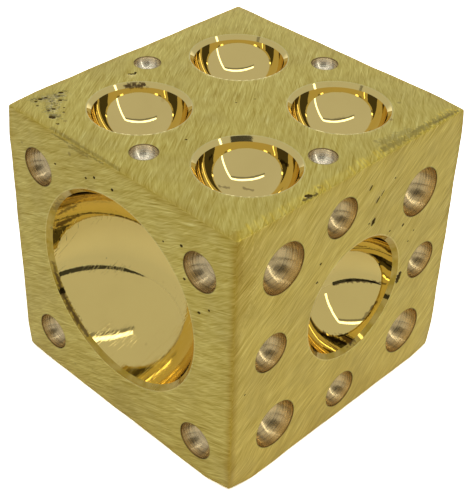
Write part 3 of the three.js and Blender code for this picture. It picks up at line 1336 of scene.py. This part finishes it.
@dataclass(frozen=True)
class LinishedBrass:
    """A face dressed on a coarse belt. Colours are linear.

    Attributes:
        name: The material's name.
        brass: The colour of the metal, set face by face; on the faces in view partly painted light and shade.
        edge: Its colour where the file has just eased an edge.
        amber: Its colour where handling has warmed it.
        pale: Its colour in fresh scratches, and at lips and between pits: bare metal and painted highlight.
        dull: Its colour in patches of tarnish.
        dirt: Its colour in pits and under grime.
        pitch: From one fine line to the next, in millimetres.
        length: The length of a stroke's mark.
        contrast: How much the lines lighten and darken the metal.
        hairlines: How much single hairlines do so.
        bow: How far the strokes bend, in millimetres.
        edges: How strongly the edges are marked.
        roughness: The roughness of the metal.
        anisotropy: How far the strokes draw out its reflections.
        lip: How pale the lips of the bowls are, partly burnished metal and partly a painted highlight.
        slant: How far the file marks on an edge lean along it.
        tone_powers: How strongly the lines show in red, green and blue.
        tarnish: How strong the patches of tarnish are, and its specks.
        bump: How strongly the marks stand out, and their scale in metres.
        soil: Where dirt has been rubbed in.
        warm: Where handling has warmed the colour.
        specks: Where the metal is pale between pits: partly bare metal, partly painted glints.
    """

    name: str
    brass: Colour
    edge: Colour = (0.98, 0.77, 0.115, 1)
    amber: Colour = (0.56, 0.38, 0.05, 1)
    pale: Colour = (0.98, 0.86, 0.42, 1)
    dull: Colour = (0.36, 0.25, 0.07, 1)
    dirt: Colour = (0.06, 0.035, 0.012, 1)
    pitch: float = 0.27
    length: float = 2.8
    contrast: float = 1.3
    hairlines: float = 0.2
    bow: float = 1.5
    edges: float = 0.6
    roughness: float = 0.4
    anisotropy: float = 0.45
    lip: float = 0.2
    slant: float = 0.0
    tone_powers: Triple = (0.8, 1.07, 2.4)
    tarnish: Pair = (0.2, 0.6)
    bump: Pair = (0.35, 4e-5)
    soil: tuple[Smear, ...] = ()
    warm: tuple[Smear, ...] = ()
    specks: tuple[Smear, ...] = ()

    def material(self, shop: FinishShop) -> bpy.types.Material:
        """Builds the material."""
        metal = Metal(self.name)
        sizes = {"Pitch": self.pitch, "Length": self.length, "Bow": self.bow}
        marks = metal.group(shop.strokes, Place=metal.attribute("dressing"), **sizes)
        shade, height, glint, scratch = marks.values()
        gap, along, pit = metal.parts("rim")
        lip, rim, _ = metal.parts("mouth")
        filed, warmed, _ = metal.parts("wear")

        width = metal.noise(metal.combine(along * 0.3), 1.0, 3.0)
        band = metal.ramp(gap - width * 1.8, 0.7, -0.6) * warmed
        colour = metal.mix(band.most(shop.smears(metal, self.warm)), self.brass, self.amber)
        ticks = metal.group(shop.ticks, Gap=gap, Along=along - gap * self.slant)
        filed = filed * self.edges
        ticked = ticks["Bright"].most(metal.ramp(gap, 2.2, 1.2, 0.0, 0.36)) * filed
        colour = metal.mix(ticked, colour, self.edge)

        light = (shade - 0.5) * self.contrast + 1.0 + glint * self.hairlines - scratch * self.hairlines
        tone = metal.combine(*(light**power for power in self.tone_powers))
        colour = metal.mix(1.0, colour, tone, "MULTIPLY")
        # Pale at the bowls' lips and between pits: partly bare, burnished metal, partly painted highlights
        # and glints.
        bright = metal.ramp(lip, 0.25, 0.1, 0.0, self.lip).most(shop.smears(metal, self.specks))
        colour = metal.mix(bright, colour, self.pale)
        amount, specks = self.tarnish
        handled = metal.group(shop.tarnish, Colour=colour, Tarnish=self.dull, Amount=amount, Specks=specks)
        soiled = metal.ramp(pit, 0.02, 0.2).most(metal.ramp(rim, 0.16, 0.02, 0.0, 0.5))
        soiled = soiled.most(ticks["Dirty"] * (filed * 0.3)).most(shop.smears(metal, self.soil))
        return metal.finish(
            (height, *self.bump),
            Base_Color=metal.mix(soiled * 0.95, handled["Colour"], self.dirt),
            Roughness=(shade * 0.2 + (self.roughness - 0.1)) * metal.ramp(lip, 0.1, 0.3, 0.35, 1.0),
            Anisotropic=self.anisotropy,
            Tangent=metal.attribute("spread"),
        )


@dataclass(frozen=True)
class PolishedBrass:
    """A bowl buffed to a mirror, with the last of its turning marks, and its burnished chamfer.

    Attributes:
        brass: The colour of the metal, in linear numbers as all of them.
        deep: Its colour in a bowl whose chamfer was left brown.
        chamfer: The colour of a chamfer that was buffed.
        brown: The colour of one that was left brown.
        dull: The colour in patches of tarnish.
        soil: The colour of stains, and of the painted dark reflections in the bowls.
        roughness: The roughness of the chamfer. The bowl itself has none.
        tarnish: How strong the patches of tarnish are, and its specks.
        rings: From one ring to the next and how far they sway, in millimetres.
        brush: The pitch, length and bow of the buff's last strokes, in millimetres.
        brush_angle: The direction of those strokes.
        bump: How strongly the marks stand out, and their scale in metres.
    """

    brass: Colour = (0.86, 0.68, 0.255, 1)
    deep: Colour = (0.86, 0.67, 0.225, 1)
    chamfer: Colour = (0.85, 0.68, 0.25, 1)
    brown: Colour = (0.5, 0.34, 0.045, 1)
    dull: Colour = (0.5, 0.34, 0.1, 1)
    soil: Colour = (0.1, 0.055, 0.02, 1)
    roughness: float = 0.05
    tarnish: Pair = (0.08, 0.35)
    rings: Pair = (0.5, 0.6)
    brush: Triple = (0.24, 2.2, 1.0)
    brush_angle: float = math.radians(75)
    bump: Pair = (1.0, 1e-5)

    def material(self, shop: FinishShop) -> bpy.types.Material:
        """Builds the material."""
        metal = Metal(Finish.POLISHED.value)
        place = metal.attribute("dressing")
        pitch, sway = self.rings
        rings = metal.group(shop.turning, Place=place, Pitch=pitch, Sway=sway)["Shade"]
        rise = metal.parts("mouth")[2]
        brushed, tone, _ = metal.parts("buffing")
        brass = metal.mix(tone, self.brass, self.deep)
        amount, specks = self.tarnish
        handled = metal.group(shop.tarnish, Colour=brass, Tarnish=self.dull, Amount=amount, Specks=specks)
        on_chamfer = rise.above(0.0)
        rubbed = metal.noise(metal.vector("MULTIPLY", place, (0.5, 0.5, 0.5)), 1.0, 3.0)
        rim = metal.mix(tone * metal.ramp(rubbed, 0.3, 0.7, 0.65, 1.0), self.chamfer, self.brown)
        x, y, _ = metal.separate(place)
        turn = {"Vector": metal.combine(x, y), "Angle": -self.brush_angle}
        across = metal.signal("ShaderNodeVectorRotate", turn, rotation_type="Z_AXIS")
        pitch, length, bow = self.brush
        brush = metal.group(shop.strokes, Place=across, Pitch=pitch, Length=length, Bow=bow)["Height"]
        colour = metal.mix(on_chamfer, handled["Colour"], rim)
        return metal.finish(
            (brush * brushed + rings * 0.2, *self.bump),
            # Stains and painted dark reflections darken the bowls here.
            Base_Color=metal.mix(shop.smears(metal, BOWL_STAINS_AND_PAINTED_SHADE), colour, self.soil),
            Roughness=on_chamfer * self.roughness,
        )


@dataclass(frozen=True)
class MachinedBrass:
    """A dimple as the ball cutter left it: dull, ringed and paler than the polished metal.

    Attributes:
        fresh: The colour of freshly cut metal, in linear numbers as all of them.
        brass: The colour of metal that has yellowed.
        dark: The colour between rings and at the rim.
        contrast: How much the rings lighten and darken the metal.
        rings: From one ring to the next and how far they sway, in millimetres.
        roughness: The roughness of the metal.
        anisotropy: How far the rings draw out its reflections.
        bump: How strongly the rings stand out, and their scale in metres.
    """

    fresh: Colour = (1.0, 0.87, 0.63, 1)
    brass: Colour = (0.84, 0.65, 0.32, 1)
    dark: Colour = (0.2, 0.12, 0.035, 1)
    contrast: float = 1.6
    rings: Pair = (0.3, 0.1)
    roughness: float = 0.25
    anisotropy: float = 0.95
    bump: Pair = (0.5, 2e-5)

    def material(self, shop: FinishShop) -> bpy.types.Material:
        """Builds the material."""
        metal = Metal(Finish.MACHINED.value)
        pitch, sway = self.rings
        place = metal.attribute("dressing")
        shade = metal.group(shop.turning, Place=place, Pitch=pitch, Sway=sway)["Shade"]
        dulled, yellowed, _ = metal.parts("buffing")
        light = (shade - 0.5) * self.contrast + 1.0 - dulled
        brass = metal.mix(yellowed, self.fresh, self.brass)
        brass = metal.mix(1.0, brass, metal.combine(light, light, light), "MULTIPLY")
        gap = metal.parts("mouth")[1]
        soiled = metal.ramp(gap, -0.32, -0.05, 0.0, 0.85).most(metal.ramp(shade, 0.55, 0.7) * 0.5)
        return metal.finish(
            (shade, *self.bump),
            Base_Color=metal.mix(soiled, brass, self.dark),
            Roughness=shade * 0.16 + (self.roughness - 0.08),
            Anisotropic=self.anisotropy,
            Tangent=metal.attribute("spread"),
        )


# Faces in view: tones partly patina, partly painted shade (front darker) and painted light (right brighter).
FACES = (
    LinishedBrass(
        "linished_front",
        (0.69, 0.555, 0.128, 1),
        length=4.2,
        bow=0.6,
        contrast=1.65,
        soil=FRONT_SOIL,
        warm=FRONT_WARM,
    ),
    LinishedBrass("linished_right", (0.8, 0.62, 0.14, 1), length=4.5, bow=4.0, edges=0.15, warm=RIGHT_WARM),
    LinishedBrass(
        "linished_top",
        (0.74, 0.61, 0.143, 1),
        length=3.8,
        bow=1.2,
        edges=0.8,
        lip=0.6,
        slant=0.42,
        soil=TOP_SOIL,
        warm=TOP_WARM,
        specks=TOP_PALE,
    ),
    LinishedBrass("linished_back", (0.77, 0.62, 0.17, 1)),
    LinishedBrass("linished_left", (0.77, 0.62, 0.17, 1)),
    LinishedBrass("linished_under", (0.75, 0.6, 0.16, 1)),
)


# Studio.


class StagePiece(Graph):
    """A piece of the studio under construction: its mesh, and a graph for its material."""

    def __init__(self, name: str, corners: list, faces: list) -> None:
        """Makes the piece with an empty material."""
        material = bpy.data.materials.new(name)
        material.use_nodes = True
        material.node_tree.nodes.clear()
        super().__init__(material.node_tree)
        self.mesh = bpy.data.meshes.new(name)
        self.mesh.from_pydata(corners, [], faces)
        self.mesh.materials.append(material)
        self.object = new_object(name, self.mesh)

    def show(self, shader: Signal) -> None:
        """Gives the material its shader."""
        self.feed(self.node("ShaderNodeOutputMaterial").inputs["Surface"], shader)


@dataclass(frozen=True)
class Studio:
    """A pale table in a pale tent, with one bent strip of light. Lengths are in metres, angles in degrees.

    Directions are an azimuth from the front towards the right and an elevation, seen from the block's middle.

    Attributes:
        middle: The block's middle.
        tent: How bright the tent is.
        far: How far off everything stands.
        lamp: How bright the lamp is.
        lamp_leg: The directions of the lamp's upright part.
        lamp_arm: The directions of its level part.
        lamp_width: How wide it is.
        pole: The directions of the tent's pole.
        pole_width: How wide the pole is.
        pole_glow: How bright it is.
        table_tones: How pale the table is to the brass and to the camera.
        near_glow: How much brighter the table is close to the block.
        glow_reach: How far from the block's middle that ends, and how far it is whole.
        edge_lift: How far the table's shadow lies above the table.
        edge_reach: How far off the shadow begins at the front, and how much nearer it does at the right.
        edge_rise: How high it stands at the front, and how much higher at the right.
        shadow_glow: How bright it is.
        wall_glow: How bright the wall behind the block is.
        hood_glow: How bright the camera's hood is in a second reflection.
        single: The ray depth above which light has been reflected more than once.
    """

    middle: Triple = (0.0, 0.0, 0.0245)
    tent: float = 0.55
    far: float = 1.2
    lamp: float = 3.4
    lamp_leg: tuple[Pair, ...] = ((103, 9), (107, 33), (118, 57))
    lamp_arm: tuple[Pair, ...] = ((118, 57), (-22, 51))
    lamp_width: float = 0.09
    pole: tuple[Pair, ...] = ((113, 53), (-18, 47))
    pole_width: float = 0.08
    pole_glow: float = 0.24
    table_tones: Pair = (0.86, 3.2)
    near_glow: float = 0.12
    glow_reach: Pair = (0.11, 0.03)
    edge_lift: float = 0.0004
    edge_reach: Pair = (0.5, 0.09)
    edge_rise: Pair = (1.3, 0.8)
    shadow_glow: float = 0.05
    wall_glow: float = 1.5
    hood_glow: float = 0.07
    single: float = 1.5

    def build(self) -> None:
        """Makes the table, the tent, the lamp and what shows dark in the bowls."""
        self.world()
        self.table()
        self.strip("lamp_leg", self.lamp_leg, self.lamp_width, self.lamp)
        self.strip("lamp_arm", self.lamp_arm, self.lamp_width, self.lamp)
        self.strip("tent_pole", self.pole, self.pole_width, self.pole_glow)
        self.table_edge()
        self.backdrop()
        self.shade()

    def toward(self, azimuth: float, elevation: float, reach: float) -> Vector:
        """A point in a direction from the block's middle."""
        a, e = math.radians(azimuth), math.radians(elevation)
        level = math.cos(e) * reach
        return Vector(self.middle) + Vector((math.sin(a) * level, -math.cos(a) * level, math.sin(e) * reach))

    def world(self) -> None:
        """White behind the block, and a pale tent for what the brass reflects."""
        world = bpy.data.worlds.new("tent")
        bpy.context.scene.world = world
        world.use_nodes = True
        graph = Graph(world.node_tree)
        background = next(n for n in world.node_tree.nodes if n.type == "BACKGROUND")
        seen = graph.signal("ShaderNodeLightPath", None, "Is Camera Ray")
        graph.feed(background.inputs["Color"], graph.mix(seen, (*[self.tent] * 3, 1), (1, 1, 1, 1)))

    def table(self) -> None:
        """A white table that reaches past the view."""
        corners = [(x * self.far, y * self.far, 0) for x, y in ((-1, -1), (1, -1), (1, 1), (-1, 1))]
        table = StagePiece("table", corners, [(0, 1, 2, 3)])
        seen = table.signal("ShaderNodeLightPath", None, "Is Camera Ray")
        colour = table.mix(seen, *((tone, tone, tone, 1) for tone in self.table_tones))
        reach = table.vector("LENGTH", table.signal("ShaderNodeTexCoord", None, "Object"), output=1)
        glow = table.ramp(reach, *self.glow_reach, 0.0, self.near_glow)
        board = table.signal("ShaderNodeBsdfDiffuse", {"Color": colour})
        light = table.signal("ShaderNodeEmission", {"Strength": glow})
        table.show(table.signal("ShaderNodeAddShader", {0: board, 1: light}))

    def panel(
        self,
        name: str,
        corners: list[Vector],
        faces: list,
        glow: float,
        deep_glow: float | None = None,
        inward: list[float] = (),
    ) -> None:
        """A panel that only the brass sees.

        Args:
            name: The object's name.
            corners: Its corners.
            faces: Its faces.
            glow: How bright it is in a perfect mirror.
            deep_glow: How bright it is in duller metal and in a second reflection, where that differs.
            inward: How far each corner has the panel's own glow rather than the tent's, if not all have.
        """
        panel = StagePiece(name, corners, faces)
        soft = np.repeat(np.array(inward or [1.0] * len(corners), float), 3)
        store(panel.mesh, "POINT", inward=soft)
        panel.object.visible_camera = panel.object.visible_shadow = False
        panel.object.visible_diffuse = glow > self.tent
        depth, mirror = panel.signals(panel.node("ShaderNodeLightPath"), "Ray Depth", "Is Singular Ray")
        deep = depth.above(self.single).most(1.0 - mirror)
        strength = deep * ((glow if deep_glow is None else deep_glow) - glow) + glow
        share = panel.parts("inward")[0]
        strength = (strength - self.tent) * share + self.tent
        panel.show(panel.signal("ShaderNodeEmission", {"Strength": strength}))

    def strip(self, name: str, path: tuple[Pair, ...], width: float, glow: float) -> None:
        """A straight-sided strip that faces the block, with soft sides.

        Args:
            name: The object's name.
            path: The directions of its middle line.
            width: Its width.
            glow: How bright it is.
        """
        points = [self.toward(azimuth, elevation, self.far) for azimuth, elevation in path]
        profile = ((-1.0, 0.0), (-0.6, 1.0), (0.6, 1.0), (1.0, 0.0))
        corners: list[Vector] = []
        for i, point in enumerate(points):
            run = points[min(i + 1, len(points) - 1)] - points[max(i - 1, 0)]
            aside = run.cross(Vector(self.middle) - point).normalized() * width / 2
            corners += [point + aside * place for place, _ in profile]
        inward = [share for _, share in profile] * len(points)
        self.panel(name, corners, rows_of_four(len(points)), glow, inward=inward)

    def table_edge(self) -> None:
        """The far side of the table, which falls away into shadow at the front and right."""
        first, last, count = -2, 88, 31
        taper_side, right_start, right_side = 20, 38, 16
        lift = Vector((0, 0, self.edge_lift))
        corners: list[Vector] = []
        for azimuth in np.linspace(first, last, count):
            out = self.toward(azimuth, 0, 1.0) - Vector(self.middle)
            taper = min(1.0, (azimuth - first) / taper_side)
            aside = max(0.0, min(1.0, (azimuth - right_start) / right_side))
            near = self.edge_reach[0] - self.edge_reach[1] * aside
            rise = self.far * math.tan(math.radians(self.edge_rise[0] + self.edge_rise[1] * aside))
            start = self.far + (near - self.far) * taper
            corners += [out * start + lift, out * self.far + lift]
            corners.append(out * self.far + Vector((0, 0, self.middle[2] + rise * taper)))
        steps = [3 * i + j for i in range(count - 1) for j in range(2)]
        self.panel("table_edge", corners, [(i, i + 1, i + 4, i + 3) for i in steps], self.shadow_glow)

    def backdrop(self) -> None:
        """The white wall behind the block, brighter than the tent. It lights the near lips of the bowls."""
        first, last, count, soft_side = 180, 266, 19, 22
        profile = ((-4, 0.0), (-1, 1.0), (9, 1.0), (14, 0.0))
        corners: list[Vector] = []
        inward: list[float] = []
        for azimuth in np.linspace(first, last, count):
            side = max(0.0, min(1.0, (azimuth - first) / soft_side, (last - azimuth) / soft_side))
            for elevation, share in profile:
                corners.append(self.toward(azimuth, elevation, self.far))
                inward.append(side * share)
        self.panel("backdrop", corners, rows_of_four(count), self.wall_glow, inward=inward)

    def shade(self) -> None:
        """The camera and its hood, which show dark in all but a single mirror reflection."""
        centre, size, squareness, count, reach = (56, 37.3), (33, 16), 0.55, 48, 0.5
        round_points = circle(count)
        turns = np.copysign(np.abs(round_points) ** squareness, round_points) * size + centre
        corners = [self.toward(azimuth, elevation, reach) for azimuth, elevation in (*turns, centre)]
        faces = [(i, (i + 1) % count, count) for i in range(count)]
        self.panel("hood", corners, faces, self.tent, self.hood_glow)


def rows_of_four(count: int) -> list[tuple[int, int, int, int]]:
    """The faces between this many rows of four corners."""
    steps = [4 * i + j for i in range(count - 1) for j in range(3)]
    return [(i, i + 1, i + 5, i + 4) for i in steps]


@dataclass(frozen=True)
class Viewpoint:
    """The camera of the photograph. Lengths are in metres, angles in degrees."""

    place: Triple = (0.110045, -0.115936, 0.140756)
    azimuth: float = 43.3444
    elevation: float = 36.6672
    roll: float = -1.8661
    focal_pixels: float = 1183.43
    frame_height: float = 493.0
    sensor: float = 36.0

    def build(self) -> bpy.types.Object:
        """Makes the camera and gives it to the scene.

        Returns:
            The camera.
        """
        data = bpy.data.cameras.new("camera")
        data.sensor_fit = "AUTO"
        data.sensor_width = self.sensor
        data.lens = self.sensor * self.focal_pixels / self.frame_height
        data.clip_start, data.clip_end = 0.01, 10.0
        camera = new_object("camera", data)
        a, e, r = (math.radians(x) for x in (self.azimuth, self.elevation, self.roll))
        forward = Vector((-math.sin(a) * math.cos(e), math.cos(a) * math.cos(e), -math.sin(e)))
        level = forward.cross(Vector((0, 0, 1))).normalized()
        down = forward.cross(level)
        right = level * math.cos(r) + down * math.sin(r)
        turn = Matrix((right, right.cross(forward), -forward)).transposed()
        camera.matrix_world = Matrix.Translation(self.place) @ turn.to_4x4()
        bpy.context.scene.camera = camera
        return camera


# Main.


def main() -> None:
    """Loads the frame, builds the block round it, and sets the studio."""
    logging.basicConfig(level=logging.INFO, format="%(name)s: %(message)s")
    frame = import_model()
    log.info("frame: %s", type(frame).__name__)
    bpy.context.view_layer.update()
    camera = Viewpoint().build()
    bpy.context.scene.view_settings.view_transform = "Standard"

    shop = FinishShop()
    faces = [finish.material(shop) for finish in FACES]
    bowls, dimpled = PolishedBrass().material(shop), MachinedBrass().material(shop)
    inside = {Finish.POLISHED: bowls, Finish.MACHINED: dimpled}
    low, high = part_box(NODE)
    body = BlockBody(np.array(high - low) / 2 / MM)
    body.add_hollows(HollowCutter(), inside)
    block = body.build()
    for material in (*faces, *inside.values()):
        block.data.materials.append(material)
    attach(block, BODY)
    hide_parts(NODE)

    Studio().build()
    log.info("camera at %s", tuple(round(x, 4) for x in camera.location))


if __name__ == "__main__":
    main()
